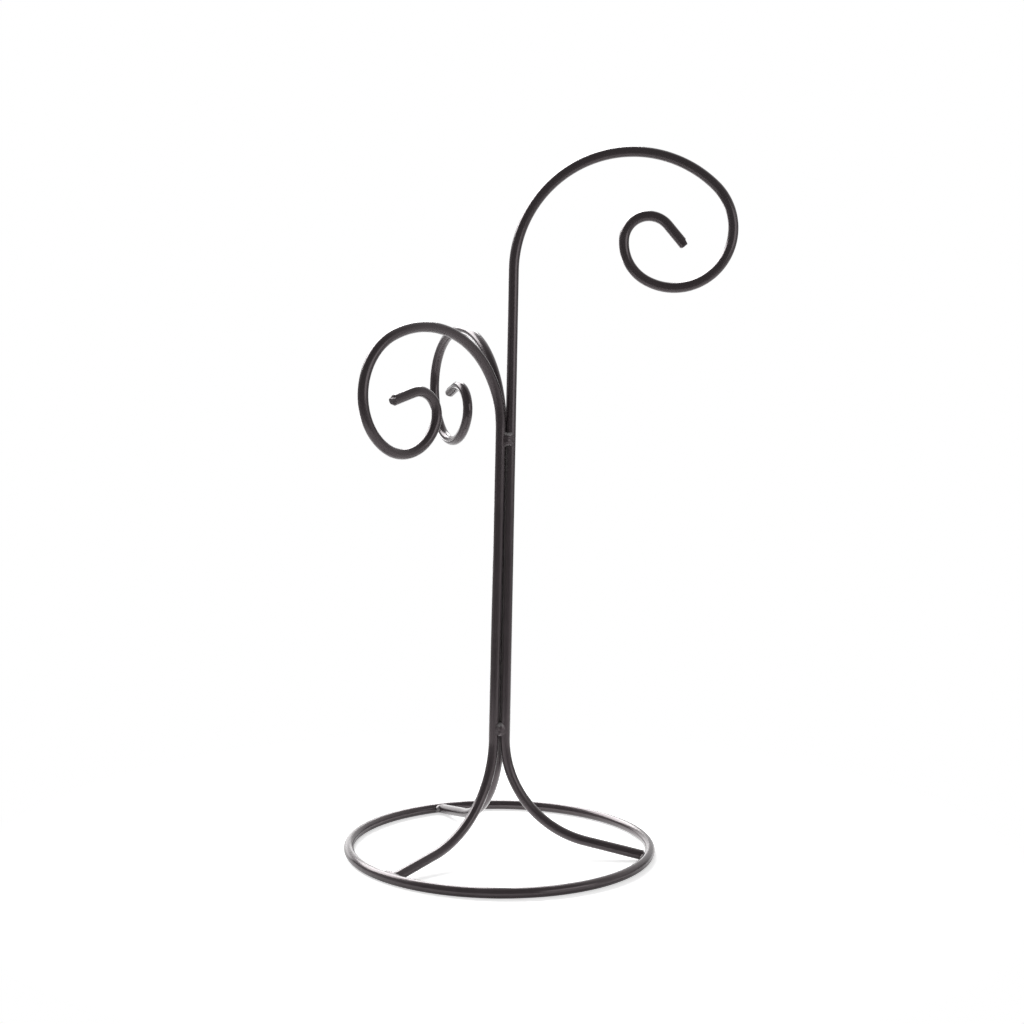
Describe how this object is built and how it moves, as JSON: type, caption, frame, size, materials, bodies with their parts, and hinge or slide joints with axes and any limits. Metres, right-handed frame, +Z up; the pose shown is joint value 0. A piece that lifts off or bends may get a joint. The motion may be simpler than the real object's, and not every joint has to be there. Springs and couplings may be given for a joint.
{
  "type": "mug tree",
  "caption": "Free-standing tree of bent black wire: scroll hooks on stems welded side by side, with splayed feet on a round wire ring, for hanging mugs or ornaments.",
  "frame": {"origin": "centre of the base ring, on the surface that the stand rests on", "axes": "+Z up from the table, +X towards the tall hook, -Y towards the side the front hook leans to"},
  "size_m": [0.1873, 0.1571, 0.3414],
  "materials": {
    "coated_wire": "satin black powder coat on drawn steel wire",
    "coated_weld": "satin black powder coat over rough weld beads"
  },
  "bodies": {
    "root": {"base_ring": "coated_wire", "tall_hook_rod": "coated_wire", "front_hook_rod": "coated_wire", "rear_hook_rod": "coated_wire", "ring_butt_weld": "coated_weld", "tall_foot_weld": "coated_weld", "front_foot_weld": "coated_weld", "rear_foot_weld": "coated_weld", "upper_front_weld": "coated_weld", "upper_left_weld": "coated_weld", "upper_back_weld": "coated_weld", "lower_front_weld": "coated_weld", "lower_left_weld": "coated_weld", "lower_back_weld": "coated_weld"}
  },
  "joints": []
}
